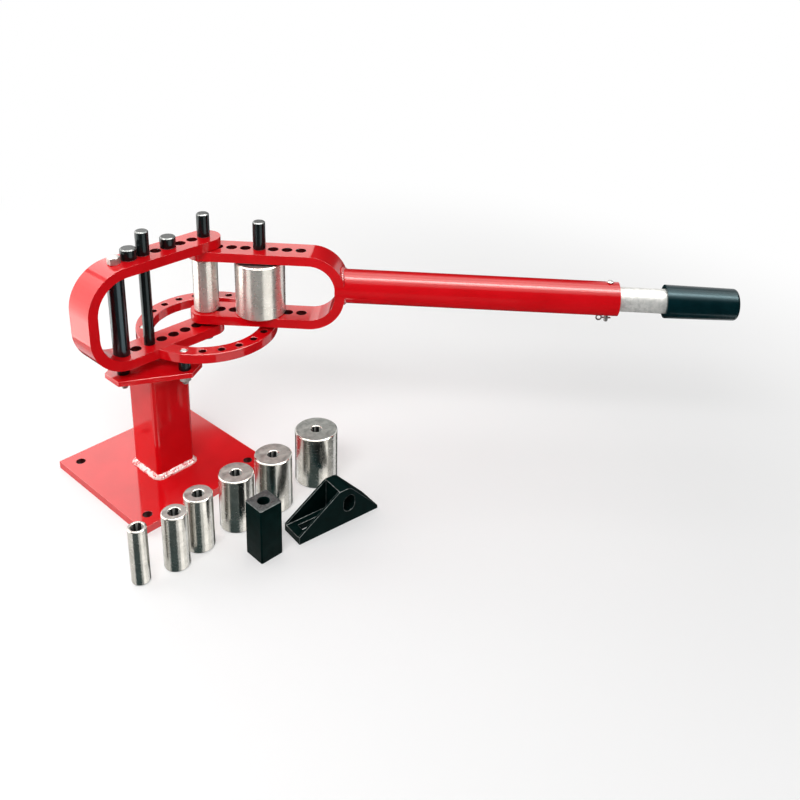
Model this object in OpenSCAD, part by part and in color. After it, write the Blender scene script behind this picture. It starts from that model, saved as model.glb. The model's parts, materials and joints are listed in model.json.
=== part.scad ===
// Compact hand-powered bar and pipe bender on a post, with its loose set of bending dies.
// Millimetres, Z up. The origin is the centre of the base plate's underside.
// X runs along the arms of the fixed frame, from its bend towards the pivot pin.

/* [Base and post] */
// Side of the square base plate
plate_size = 228; // [200:1:280]
// Thickness of the base plate
plate_thick = 12; // [8:0.5:20]
// Diameter of the four anchor holes
anchor_hole_d = 14; // [10:0.5:18]
// Distance of the anchor holes from the plate's edges
anchor_inset = 23; // [18:1:32]
// Outside width of the square post
post_size = 66; // [55:1:80]
// Wall of the square post
post_wall = 4; // [2.5:0.5:6]
// Outside corner radius of the square post
post_corner_r = 7; // [6.5:0.5:10]
// Length of the post
post_height = 174; // [120:1:300]
// Radius of the weld bead round the post's foot
foot_weld_r = 6; // [3:0.5:9]

/* [Top plate] */
// Thickness of the plate on top of the post
top_thick = 8; // [6:0.5:12]
// How far the top plate's narrow end lies beyond the long bolt
top_nose_margin = 20; // [18:1:30]
// Width of the top plate's narrow end
top_nose_width = 36; // [30:1:60]
// Edge left on the top plate outside the stud holes
top_stud_margin = 18.5; // [13:0.5:22]
// Length of the cut corners at the wide end
top_corner_cut = 29; // [16:1:34]
// How much narrower the top plate is at its end, on each side
top_corner_drop = 16; // [4:1:24]
// Height of the spacers between the top plate and the frame
spacer_height = 16; // [8:0.5:25]
// Outside diameter of the spacers
spacer_d = 18; // [16:0.5:22]

/* [Fixed frame] */
// Width of the flat bar of the fixed frame
bar_width = 50; // [44:1:60]
// Thickness of the flat bar of the fixed frame
bar_thick = 15; // [10:0.5:18]
// Clear height between the two arms of the fixed frame
frame_gap = 128; // [122:1:150]
// Inside radius of the fixed frame's two bends
bend_r = 48; // [35:1:58]
// Distance of the pivot pin from the post's centre line
pivot_x = 93; // [85:1:105]
// Distance from one hole of the fixed frame's arms to the next
frame_pitch = 20.8; // [20.2:0.1:21.4]
// Distance between the last two holes and from the last hole to the long bolt
end_pitch = 23; // [22:0.1:25]
// Thickness of the spacer sleeve's wall
sleeve_wall = 6.5; // [4:0.5:8]

/* [Index ring] */
// Outside radius of the index ring
ring_outer_r = 108; // [104:1:116]
// Width of the index ring's flat bar
ring_width = 24; // [20:1:28]
// Number of hole places round the index ring
ring_places = 22; // [20:1:24]
// Diameter of the index ring's holes
ring_hole_d = 11; // [9:0.5:12]

/* [Pins] */
// Shank diameter of the long pins and the caps
pin_d = 16; // [12:0.5:17]
// Head diameter of the long pins
pin_head_d = 19; // [17.5:0.1:19.8]
// Head height of the pivot pin and the stop pin
pin_head_h = 37; // [20:1:60]
// Head height of the follower pin
follower_head_h = 44; // [20:1:60]
// Head diameter of the two short caps
cap_d = 23; // [20:0.5:23.5]
// Head height of the two short caps
cap_h = 17; // [10:0.5:25]
// Height of the ring pin above the ring
ring_pin_h = 19; // [10:0.5:30]
// Bevel on the ends of pins and dies
edge_bevel = 1.5; // [0.5:0.1:2.5]

/* [Swing arm] */
// Width of the flat bar of the swing arm
arm_width = 50; // [44:1:60]
// Thickness of the flat bar of the swing arm
arm_thick = 15; // [10:0.5:16]
// Distance from the pivot to the inside of the swing arm's bend
arm_reach = 201; // [190:1:240]
// Distance from one hole of the swing arm to the next
arm_pitch = 21; // [20.5:0.1:23]
// Inside radius of the swing arm's two bends
arm_bend_r = 40; // [25:1:41]
// Thickness of the thrust washer under the swing arm
washer_thick = 6.7; // [3:0.1:8]
// Angle of the swing arm in the photographed position
arm_angle = -50.4; // [-80:0.1:0]

/* [Handle] */
// Outside diameter of the handle tube
handle_d = 52.5; // [48:0.5:56]
// Distance from the pivot to the end of the handle tube
handle_end = 632; // [560:1:700]
// Outside diameter of the extension tube
ext_d = 38; // [34:0.5:40]
// Wall of the extension tube
ext_wall = 3; // [2:0.5:5]
// Length of extension tube that shows between handle and grip at rest
ext_bare = 73; // [30:1:120]
// How far the extension tube can be drawn out
ext_travel = 120; // [60:1:150]
// Length of extension tube that stays inside the handle when drawn out
ext_overlap = 110; // [80:1:140]
// Length of the grip
grip_length = 111; // [90:1:140]
// Outside diameter of the grip
grip_d = 52; // [44:0.5:56]
// Diameter of the clevis pin through the handle
clevis_d = 6.3; // [5:0.1:8]
// Distance of the clevis pin from the handle tube's end
clevis_inset = 14; // [10:1:20]

/* [Die set] */
// Diameter of the centre die on the pivot pin
centre_die_d = 38; // [30:0.5:42]
// Diameter of the follower die on the swing arm
follower_die_d = 76; // [60:0.5:80]
// Diameter of the smallest loose die
die_a_d = 25; // [23:0.5:32]
// Diameter of the second loose die
die_b_d = 35; // [30:0.5:40]
// Diameter of the third loose die
die_c_d = 40; // [35:0.5:46]
// Diameter of the fourth loose die
die_d_d = 50; // [44:0.5:56]
// Diameter of the fifth loose die
die_e_d = 55; // [50:0.5:62]
// Diameter of the largest loose die
die_f_d = 65; // [60:0.5:72]
// Side of the square block
block_size = 36; // [30:0.5:40]
// Distance of the row of loose dies from the base plate's edge
set_offset = 72; // [60:1:120]

/* [Angle block] */
// Length of the angle block along the floor
angle_length = 137; // [125:1:150]
// Width of the angle block
angle_width = 40; // [34:0.5:46]
// Height of the angle block
angle_height = 59; // [54:0.5:70]
// Thickness of the angle block's side walls
angle_wall = 4; // [3:0.5:6]
// Thickness of the angle block's floor
angle_floor = 11; // [8:0.5:14]

/* [Hidden] */
$fn = 96;

// Clearances, all radial unless they are heights
pin_clear = 0.1;
bolt_clear = 0.5;
thread_clear = 0.05;
ring_pin_clear = 0.1;
slide_clear = 0.1;
slot_clear = 0.4;
seat_gap = 0.3;
arm_top_clear = 1;
die_play = 3;
cut = 1;

// Heights of the stack, from the floor up
post_top_z = plate_thick + post_height;
top_z = post_top_z + top_thick;
low_bottom_z = top_z + spacer_height;
low_top_z = low_bottom_z + bar_thick;
high_bottom_z = low_top_z + frame_gap;
high_top_z = high_bottom_z + bar_thick;
arm_bottom_z = low_top_z + washer_thick + seat_gap;
arm_floor_z = arm_bottom_z + arm_thick;
arm_gap = frame_gap - washer_thick - seat_gap - 2 * arm_thick - arm_top_clear;
arm_roof_z = arm_floor_z + arm_gap;
arm_top_z = arm_roof_z + arm_thick;
arm_middle_z = arm_floor_z + arm_gap / 2;
handle_rise = 5;
handle_z = arm_middle_z + handle_rise;
die_height = arm_gap - die_play;
die_z = arm_floor_z + seat_gap;

// Hole places along an arm, counted in pitches from the pivot
last_place = 6;
bolt_place = 7;
stop_place = 5;
cap_a_place = 6;
cap_b_place = 3;
follower_place = 4;
arm_last_place = 7;
// Distance of a hole place of the fixed frame from the pivot
function frame_place(place) = place * frame_pitch + max(place - stop_place, 0) * (end_pitch - frame_pitch);
bolt_x = pivot_x - frame_place(bolt_place);
bolt_inset = 3.5;
frame_reach = frame_place(bolt_place) + bend_r - bolt_inset;
hole_d = pin_d + 2 * pin_clear;

// Fasteners: M10 sizes
bolt_d = 10;
nut_across_flats = 16;
nut_h = 8.4;
bolt_head_h = 10.5;
washer_d = 20;
washer_h = 2;
thread_end = 6;
thread_bevel = 1;
bolt_hole_d = bolt_d + 2 * bolt_clear;
nut_bore_d = bolt_d + 2 * thread_clear;
thread_bottom_z = post_top_z - washer_h - nut_h - thread_end;

// Index ring
ring_mid_r = ring_outer_r - ring_width / 2;
ring_step = 360 / ring_places;
stud_place = 2;
ring_pin_place = 8;

// Thrust washer under the swing arm
thrust_washer_d = 2 * pin_d + 2;
stud_angle = 180 - stud_place * ring_step;
stud_x = pivot_x + ring_mid_r * cos(stud_angle);
stud_y = ring_mid_r * sin(stud_angle);

// Pins
pin_stickout = 14;
stop_stickout = 4;

// Handle
weld_leg = 3.5;
weld_saddle = 10;
grip_end_wall = 8;
ext_end = handle_end + ext_bare + grip_length - grip_end_wall;
ext_start = handle_end - ext_overlap - ext_travel;
grip_start = handle_end + ext_bare;
grip_round_r = 6;
grip_clear = 0.05;
clevis_x = handle_end - clevis_inset;
clevis_head_d = 10;
clevis_head_h = 3.5;
clevis_head_bevel = 1.2;
clevis_below = 12;
split_pin_d = 2.5;
split_pin_drop = 6;
split_pin_ends = 8;
split_ring_r = 4;

// Loose set: places along the row, and small steps out of line
row_y = -plate_size / 2 - set_offset;
die_row_x = [-163, -112.7, -68, -3.3, 62, 150];
die_row_step = [0.5, -8.7, 0.4, 0.3, -3.3, -0.5];
die_bore_bevel = 1;
block_x = -16.5;
block_step = -76;
block_turn = -3;
block_bevel = 1;

// Angle block
angle_x = 29.2;
angle_step = -81;
angle_turn = -9.6;
ridge_start = 68.5;
ridge_length = 18.5;
toe_height = 12.3;
heel_height = 5;
angle_hole_d = 19;
angle_hole_rise = 8;
angle_hole_x = 85;
angle_hole_z = 33;
angle_slot_w = 12;
angle_slot_start = 14;
angle_slot_length = 44;

red = [0.75, 0.03, 0.05];
black = [0.06, 0.06, 0.07];
steel = [0.78, 0.77, 0.74];
zinc = [0.7, 0.7, 0.68];
rubber = [0.05, 0.06, 0.09];

// Weld bead: how far its face stands out, as a share of its legs
bead_swell = [0.72, 0.58];

// Square with round corners, centred
module rounded_square(size, r) {
    square([size - 2 * r, size], center = true);
    square([size, size - 2 * r], center = true);
    for (sx = [-1, 1], sy = [-1, 1])
        translate([sx * (size / 2 - r), sy * (size / 2 - r)])
            circle(r);
}

// Round bar along Z from z = 0, with a bevel at both ends
module bevelled_rod(d, h, bevel) {
    rotate_extrude()
        polygon([[0, 0], [d / 2 - bevel, 0], [d / 2, bevel], [d / 2, h - bevel], [d / 2 - bevel, h], [0, h]]);
}

// Hexagon prism from z = 0
module hexagon(across_flats, h) {
    cylinder(d = across_flats / cos(30), h = h, $fn = 6);
}

// Side view of a flat bar bent to a U: the arms run from x = 0 to the bend at x = reach
module bent_bar_side(gap, thick, width, r, reach) {
    difference() {
        union() {
            translate([-width / 2, -gap / 2 - thick])
                square([reach - r + width / 2, gap + 2 * thick]);
            translate([reach - r, -gap / 2 + r])
                square([r + thick, gap - 2 * r]);
            for (s = [-1, 1])
                translate([reach - r, s * (gap / 2 - r)])
                    circle(r + thick);
        }
        translate([-width / 2 - cut, -gap / 2])
            square([reach - r + width / 2 + cut, gap]);
        translate([reach - r - cut, -gap / 2 + r])
            square([r + cut, gap - 2 * r]);
        for (s = [-1, 1])
            translate([reach - r, s * (gap / 2 - r)])
                circle(r);
    }
}

// Flat bar bent to a U, with round arm ends centred on the origin, its middle height at z = 0
module bent_bar(gap, thick, width, r, reach) {
    tall = gap + 2 * thick + 2 * cut;
    intersection() {
        rotate([90, 0, 0])
            linear_extrude(width, center = true)
                bent_bar_side(gap, thick, width, r, reach);
        translate([0, 0, -tall / 2])
            linear_extrude(tall)
                union() {
                    circle(d = width);
                    translate([0, -width / 2])
                        square([reach + thick + cut, width]);
                }
    }
}

// Pin with a thick head: the head stands on z = 0 and the shank hangs below
module headed_pin(head_d, head_h, shank_d, shank_length) {
    rotate_extrude()
        polygon([
            [0, -shank_length], [shank_d / 2 - edge_bevel, -shank_length],
            [shank_d / 2, -shank_length + edge_bevel], [shank_d / 2, 0],
            [head_d / 2 - edge_bevel / 2, 0], [head_d / 2, edge_bevel / 2],
            [head_d / 2, head_h - edge_bevel], [head_d / 2 - edge_bevel, head_h], [0, head_h]
        ]);
}

// Bored round die from z = 0, with bevelled rims inside and out
module die(d) {
    bore_r = pin_d / 2 + pin_clear;
    rotate_extrude()
        polygon([
            [bore_r + die_bore_bevel, 0], [d / 2 - edge_bevel, 0], [d / 2, edge_bevel],
            [d / 2, die_height - edge_bevel], [d / 2 - edge_bevel, die_height],
            [bore_r + die_bore_bevel, die_height], [bore_r, die_height - die_bore_bevel],
            [bore_r, die_bore_bevel]
        ]);
}

// Children are placed in the swing arm's own frame: pivot at the origin, arm along X
module on_arm() {
    translate([pivot_x, 0, 0])
        rotate(arm_angle)
            children();
}

// Children are repeated at the long bolt and the two studs
module at_frame_bolts() {
    translate([bolt_x, 0, 0])
        children();
    for (s = [-1, 1])
        translate([stud_x, s * stud_y, 0])
            children();
}

// Solid shape of the fixed frame, before its holes are drilled
module frame_blank() {
    translate([pivot_x, 0, low_top_z + frame_gap / 2])
        mirror([1, 0, 0])
            bent_bar(frame_gap, bar_thick, bar_width, bend_r, frame_reach);
}

// Solid shape of the swing arm, before its holes are drilled
module arm_blank() {
    translate([0, 0, arm_middle_z])
        bent_bar(arm_gap, arm_thick, arm_width, arm_bend_r, arm_reach);
}

module base_plate() {
    hole_at = plate_size / 2 - anchor_inset;
    color(red)
        difference() {
            translate([-plate_size / 2, -plate_size / 2, 0])
                cube([plate_size, plate_size, plate_thick]);
            for (sx = [-1, 1], sy = [-1, 1])
                translate([sx * hole_at, sy * hole_at, -cut])
                    cylinder(d = anchor_hole_d, h = plate_thick + 2 * cut);
        }
}

// Cross-section of the weld bead: its root at the origin, one leg on the plate, one on the post
module bead_section(leg) {
    polygon([[0, 0], [leg, 0], leg * bead_swell, [0, leg]]);
}

// Bead along the four sides and round the four corners of the post's foot
module foot_weld() {
    run = post_size - 2 * post_corner_r;
    color(red)
        translate([0, 0, plate_thick])
            for (side = [0 : 3])
                rotate(90 * side) {
                    translate([-run / 2, -post_size / 2, 0])
                        rotate([90, 0, 90])
                            linear_extrude(run)
                                mirror([1, 0])
                                    bead_section(foot_weld_r);
                    translate([run / 2, -run / 2, 0])
                        rotate(-90)
                            rotate_extrude(angle = 90)
                                translate([post_corner_r, 0])
                                    bead_section(foot_weld_r);
                }
}

module post() {
    inner_r = post_corner_r - post_wall;
    color(red)
        translate([0, 0, plate_thick])
            linear_extrude(post_height)
                difference() {
                    rounded_square(post_size, post_corner_r);
                    rounded_square(post_size - 2 * post_wall, max(inner_r, 0.5));
                }
}

module top_plate() {
    nose_x = bolt_x - top_nose_margin;
    wide_y = stud_y + top_stud_margin;
    end_y = wide_y - top_corner_drop;
    color(red)
        translate([0, 0, post_top_z])
            difference() {
                linear_extrude(top_thick)
                    polygon([
                        [nose_x, -top_nose_width / 2], [stud_x, -wide_y], [stud_x + top_corner_cut, -end_y],
                        [stud_x + top_corner_cut, end_y], [stud_x, wide_y], [nose_x, top_nose_width / 2]
                    ]);
                translate([0, 0, -cut])
                    at_frame_bolts()
                        cylinder(d = bolt_hole_d, h = top_thick + 2 * cut);
            }
}

module plate_spacers() {
    color(black)
        translate([0, 0, top_z])
            at_frame_bolts()
                difference() {
                    cylinder(d = spacer_d, h = spacer_height);
                    translate([0, 0, -cut])
                        cylinder(d = bolt_hole_d, h = spacer_height + 2 * cut);
                }
}

module plate_washers() {
    color(zinc)
        translate([0, 0, post_top_z - washer_h])
            at_frame_bolts()
                difference() {
                    cylinder(d = washer_d, h = washer_h);
                    translate([0, 0, -cut])
                        cylinder(d = nut_bore_d, h = washer_h + 2 * cut);
                }
}

module plate_nuts() {
    color(zinc)
        translate([0, 0, post_top_z - washer_h - nut_h])
            at_frame_bolts()
                difference() {
                    intersection() {
                        hexagon(nut_across_flats, nut_h);
                        bevelled_rod(nut_across_flats / cos(30), nut_h, thread_bevel);
                    }
                    translate([0, 0, -cut])
                        cylinder(d = nut_bore_d, h = nut_h + 2 * cut);
                }
}

// Two studs: they end flush with the ring's upper face
module frame_studs() {
    color(zinc)
        for (s = [-1, 1])
            translate([stud_x, s * stud_y, thread_bottom_z])
                bevelled_rod(bolt_d, low_top_z - thread_bottom_z, thread_bevel);
}

module long_bolt() {
    color(zinc)
        translate([bolt_x, 0, 0]) {
            translate([0, 0, thread_bottom_z])
                bevelled_rod(bolt_d, high_top_z - thread_bottom_z + bolt_head_h / 2, thread_bevel);
            translate([0, 0, high_top_z])
                intersection() {
                    hexagon(nut_across_flats, bolt_head_h);
                    bevelled_rod(nut_across_flats / cos(30), bolt_head_h, thread_bevel);
                }
        }
}

// The sleeve's ends follow the frame where its bends begin
module spacer_sleeve() {
    color(black)
        translate([bolt_x, 0, low_top_z])
            difference() {
                cylinder(d = bolt_hole_d + 2 * sleeve_wall, h = frame_gap);
                translate([0, 0, -cut])
                    cylinder(d = bolt_hole_d, h = frame_gap + 2 * cut);
                translate([-bolt_x, 0, -low_top_z])
                    frame_blank();
            }
}

module fixed_frame() {
    color(red)
        difference() {
            frame_blank();
            for (place = [0 : last_place])
                translate([pivot_x - frame_place(place), 0, low_bottom_z - cut])
                    cylinder(d = hole_d, h = high_top_z - low_bottom_z + 2 * cut);
            translate([bolt_x, 0, low_bottom_z - cut])
                cylinder(d = bolt_hole_d, h = high_top_z - low_bottom_z + 2 * cut);
        }
}

// Flat ring, open where the frame's lower arm passes through and is welded to it
module index_ring() {
    color(red)
        translate([pivot_x, 0, low_bottom_z])
            difference() {
                cylinder(r = ring_outer_r, h = bar_thick);
                translate([0, 0, -cut])
                    cylinder(r = ring_outer_r - ring_width, h = bar_thick + 2 * cut);
                translate([-ring_outer_r - cut, -bar_width / 2, -cut])
                    cube([ring_outer_r + cut, bar_width, bar_thick + 2 * cut]);
                for (place = [stud_place : ring_places - stud_place])
                    rotate(180 - place * ring_step)
                        translate([ring_mid_r, 0, -cut])
                            cylinder(d = ring_hole_d, h = bar_thick + 2 * cut);
            }
}

module thrust_washer() {
    color(black)
        translate([pivot_x, 0, low_top_z])
            difference() {
                cylinder(d = thrust_washer_d, h = washer_thick);
                translate([0, 0, -cut])
                    cylinder(d = hole_d, h = washer_thick + 2 * cut);
            }
}

module pivot_pin() {
    color(black)
        translate([pivot_x, 0, high_top_z])
            headed_pin(pin_head_d, pin_head_h, pin_d, high_top_z - low_bottom_z + pin_stickout);
}

module stop_pin() {
    color(black)
        translate([pivot_x - frame_place(stop_place), 0, high_top_z])
            headed_pin(pin_head_d, pin_head_h, pin_d, high_top_z - low_bottom_z + stop_stickout);
}

// Short cap: its shank stays inside the upper arm
module cap(place) {
    color(black)
        translate([pivot_x - frame_place(place), 0, high_top_z])
            headed_pin(cap_d, cap_h, pin_d, bar_thick - edge_bevel);
}

module cap_a() {
    cap(cap_a_place);
}

module cap_b() {
    cap(cap_b_place);
}

module ring_pin() {
    place_angle = 180 - ring_pin_place * ring_step;
    color(black)
        translate([pivot_x + ring_mid_r * cos(place_angle), ring_mid_r * sin(place_angle), low_top_z])
            headed_pin(pin_head_d, ring_pin_h, ring_hole_d - 2 * ring_pin_clear, bar_thick);
}

module centre_die() {
    color(steel)
        translate([pivot_x, 0, die_z])
            die(centre_die_d);
}

module swing_arm() {
    color(red)
        on_arm()
            difference() {
                arm_blank();
                for (place = [0 : arm_last_place])
                    translate([place * arm_pitch, 0, arm_bottom_z - cut])
                        cylinder(d = hole_d, h = arm_top_z - arm_bottom_z + 2 * cut);
            }
}

module follower_pin() {
    color(black)
        on_arm()
            translate([follower_place * arm_pitch, 0, arm_top_z])
                headed_pin(pin_head_d, follower_head_h, pin_d, arm_top_z - arm_bottom_z);
}

module follower_die() {
    color(steel)
        on_arm()
            translate([follower_place * arm_pitch, 0, die_z])
                die(follower_die_d);
}

// Bead where the handle tube meets the arm's bend, no wider than the arm's flat bar
module handle_weld() {
    reach = handle_d / 2 + weld_leg;
    color(red)
        on_arm()
            difference() {
                intersection() {
                    translate([arm_reach + arm_thick, 0, handle_z])
                        rotate([0, 90, 0])
                            rotate_extrude()
                                polygon([
                                    [0, -weld_saddle], [reach, -weld_saddle], [reach, 0],
                                    [handle_d / 2, weld_leg], [0, weld_leg]
                                ]);
                    translate([arm_reach, -arm_width / 2, handle_z - reach - cut])
                        cube([2 * arm_thick, arm_width, 2 * (reach + cut)]);
                }
                arm_blank();
                translate([arm_reach, 0, handle_z])
                    rotate([0, 90, 0])
                        cylinder(d = handle_d, h = arm_thick + weld_leg + cut);
            }
}

module handle_tube() {
    color(red)
        on_arm()
            difference() {
                translate([arm_reach, 0, handle_z])
                    rotate([0, 90, 0])
                        cylinder(d = handle_d, h = handle_end - arm_reach);
                arm_blank();
                translate([arm_reach - cut, 0, handle_z])
                    rotate([0, 90, 0])
                        cylinder(d = ext_d + 2 * slide_clear, h = handle_end - arm_reach + 2 * cut);
                translate([clevis_x, 0, handle_z - handle_d / 2 - cut])
                    cylinder(d = clevis_d + 2 * pin_clear, h = handle_d + 2 * cut);
            }
}

module clevis_pin() {
    head_z = handle_z + handle_d / 2;
    foot_z = handle_z - handle_d / 2 - clevis_below;
    color(zinc)
        on_arm()
            translate([clevis_x, 0, 0])
                difference() {
                    union() {
                        translate([0, 0, foot_z])
                            bevelled_rod(clevis_d, head_z - foot_z + clevis_head_h / 2, thread_bevel);
                        translate([0, 0, head_z])
                            bevelled_rod(clevis_head_d, clevis_head_h, clevis_head_bevel);
                    }
                    translate([-clevis_d, 0, foot_z + split_pin_drop])
                        rotate([0, 90, 0])
                            cylinder(d = split_pin_d + 2 * pin_clear, h = 2 * clevis_d);
                }
}

// Split pin through the clevis pin's lower end: a leg and an eye
module split_pin() {
    leg = clevis_d + split_pin_ends;
    color(zinc)
        on_arm()
            translate([clevis_x, 0, handle_z - handle_d / 2 - clevis_below + split_pin_drop]) {
                translate([-leg / 2, 0, 0])
                    rotate([0, 90, 0])
                        cylinder(d = split_pin_d, h = leg);
                translate([-leg / 2 - split_ring_r, 0, 0])
                    rotate([90, 0, 0])
                        rotate_extrude()
                            translate([split_ring_r, 0])
                                circle(d = split_pin_d);
            }
}

// Extension tube: its two long slots let the clevis pin stay in while the tube is drawn out
module extension_tube() {
    color(steel)
        on_arm()
            difference() {
                translate([ext_start, 0, handle_z])
                    rotate([0, 90, 0])
                        difference() {
                            cylinder(d = ext_d, h = ext_end - ext_start);
                            translate([0, 0, -cut])
                                cylinder(d = ext_d - 2 * ext_wall, h = ext_end - ext_start + 2 * cut);
                        }
                translate([clevis_x - ext_travel, -clevis_d / 2 - slot_clear, handle_z - ext_d])
                    cube([ext_travel, clevis_d + 2 * slot_clear, 2 * ext_d]);
                for (x = [clevis_x - ext_travel, clevis_x])
                    translate([x, 0, handle_z - ext_d])
                        cylinder(d = clevis_d + 2 * slot_clear, h = 2 * ext_d);
            }
}

module grip() {
    wall_r = ext_d / 2 + grip_clear;
    color(rubber)
        on_arm()
            translate([grip_start, 0, handle_z])
                rotate([0, 90, 0])
                    rotate_extrude()
                        difference() {
                            union() {
                                square([grip_d / 2, grip_length - grip_round_r]);
                                square([grip_d / 2 - grip_round_r, grip_length]);
                                translate([grip_d / 2 - grip_round_r, grip_length - grip_round_r])
                                    intersection() {
                                        circle(grip_round_r);
                                        square(grip_round_r + cut);
                                    }
                            }
                            translate([0, -cut])
                                square([wall_r, ext_end - grip_start + cut]);
                        }
}

// Loose die standing on the floor at one place of the row
module loose_die(place, d) {
    color(steel)
        translate([die_row_x[place], row_y + die_row_step[place], 0])
            die(d);
}

module die_a() {
    loose_die(0, die_a_d);
}

module die_b() {
    loose_die(1, die_b_d);
}

module die_c() {
    loose_die(2, die_c_d);
}

module die_d() {
    loose_die(3, die_d_d);
}

module die_e() {
    loose_die(4, die_e_d);
}

module die_f() {
    loose_die(5, die_f_d);
}

module square_block() {
    color(black)
        translate([block_x, row_y + block_step, 0])
            rotate(block_turn)
                difference() {
                    linear_extrude(die_height)
                        rounded_square(block_size, block_bevel);
                    translate([0, 0, -cut])
                        cylinder(d = hole_d, h = die_height + 2 * cut);
                }
}

// Side view of the angle block: toe at x = 0, flat ridge, heel at x = angle_length
module angle_side() {
    polygon([
        [0, 0], [0, toe_height], [ridge_start, angle_height], [ridge_start + ridge_length, angle_height],
        [angle_length, heel_height], [angle_length, 0]
    ]);
}

module angle_block() {
    color(black)
        translate([angle_x, row_y + angle_step, 0])
            rotate(angle_turn)
                difference() {
                    rotate([90, 0, 0])
                        linear_extrude(angle_width, center = true)
                            angle_side();
                    translate([-cut, -angle_width / 2 + angle_wall, angle_floor])
                        cube([ridge_start + cut, angle_width - 2 * angle_wall, angle_height]);
                    translate([angle_slot_start, -angle_slot_w / 2, -cut])
                        cube([angle_slot_length, angle_slot_w, angle_floor + 2 * cut]);
                    for (rise = [-angle_hole_rise / 2, angle_hole_rise / 2])
                        translate([angle_hole_x, 0, angle_hole_z + rise])
                            rotate([90, 0, 0])
                                cylinder(d = angle_hole_d, h = angle_width + 2 * cut, center = true);
                    translate([angle_hole_x, 0, angle_hole_z])
                        cube([angle_hole_d, angle_width + 2 * cut, angle_hole_rise], center = true);
                }
}

base_plate();
foot_weld();
post();
top_plate();
plate_spacers();
plate_washers();
plate_nuts();
frame_studs();
long_bolt();
spacer_sleeve();
fixed_frame();
index_ring();
thrust_washer();
pivot_pin();
stop_pin();
cap_a();
cap_b();
ring_pin();
centre_die();
swing_arm();
follower_pin();
follower_die();
handle_weld();
handle_tube();
clevis_pin();
split_pin();
extension_tube();
grip();
die_a();
die_b();
die_c();
die_d();
die_e();
die_f();
square_block();
angle_block();
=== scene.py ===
# Dresses the compact bar and pipe bender: materials, rounded edges, threads, weld beads, light and camera.
# Metres throughout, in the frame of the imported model: +Z up, origin under the base plate.
import json
import math

import bmesh
import bpy
from mathutils import Matrix, Vector, noise
from mathutils.bvhtree import BVHTree


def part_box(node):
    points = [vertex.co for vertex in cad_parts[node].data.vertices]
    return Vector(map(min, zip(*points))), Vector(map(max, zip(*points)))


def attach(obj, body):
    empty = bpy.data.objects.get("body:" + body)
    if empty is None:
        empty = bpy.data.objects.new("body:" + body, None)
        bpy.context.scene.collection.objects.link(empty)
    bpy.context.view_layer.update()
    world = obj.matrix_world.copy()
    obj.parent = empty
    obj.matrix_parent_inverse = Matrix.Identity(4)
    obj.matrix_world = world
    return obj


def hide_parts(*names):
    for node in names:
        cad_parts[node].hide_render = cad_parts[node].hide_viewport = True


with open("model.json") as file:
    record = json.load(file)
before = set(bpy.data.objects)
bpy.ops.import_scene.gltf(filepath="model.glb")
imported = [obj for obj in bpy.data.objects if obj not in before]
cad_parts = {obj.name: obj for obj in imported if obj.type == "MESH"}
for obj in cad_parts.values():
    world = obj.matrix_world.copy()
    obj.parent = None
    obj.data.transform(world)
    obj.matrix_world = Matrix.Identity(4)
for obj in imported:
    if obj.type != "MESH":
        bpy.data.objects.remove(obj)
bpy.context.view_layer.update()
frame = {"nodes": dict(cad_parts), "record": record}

MM = 0.001
UP = Vector((0, 0, 1))

# Places that the CAD model gives, in metres
PIVOT = Vector((93 * MM, 0, 0))
ARM_TURN = math.radians(-50.4)
ARM_AXIS = Vector((math.cos(ARM_TURN), math.sin(ARM_TURN), 0))
ARM_SIDE = Vector((-math.sin(ARM_TURN), math.cos(ARM_TURN), 0))
ARM_CURVE_X = 161 * MM
ARM_CURVE_R = 55 * MM
ARM_MIDDLE_Z = 292 * MM
ARM_FLAT = 5 * MM
ARM_HALF_WIDTH = 25 * MM
HANDLE_Z = 297 * MM
HANDLE_R = 26.25 * MM
POST_HALF = 33 * MM
POST_CORNER = 7 * MM
PLATE_TOP = 12 * MM
BOLT_R = 5 * MM
NUT_FOOT_Z = 175.6 * MM
RING_TOP = 225 * MM
FRAME_TOP = 368 * MM


def middle(node):
    """Middle of a CAD node's box."""
    low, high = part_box(node)
    return (Vector(low) + Vector(high)) / 2


# Materials


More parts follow.
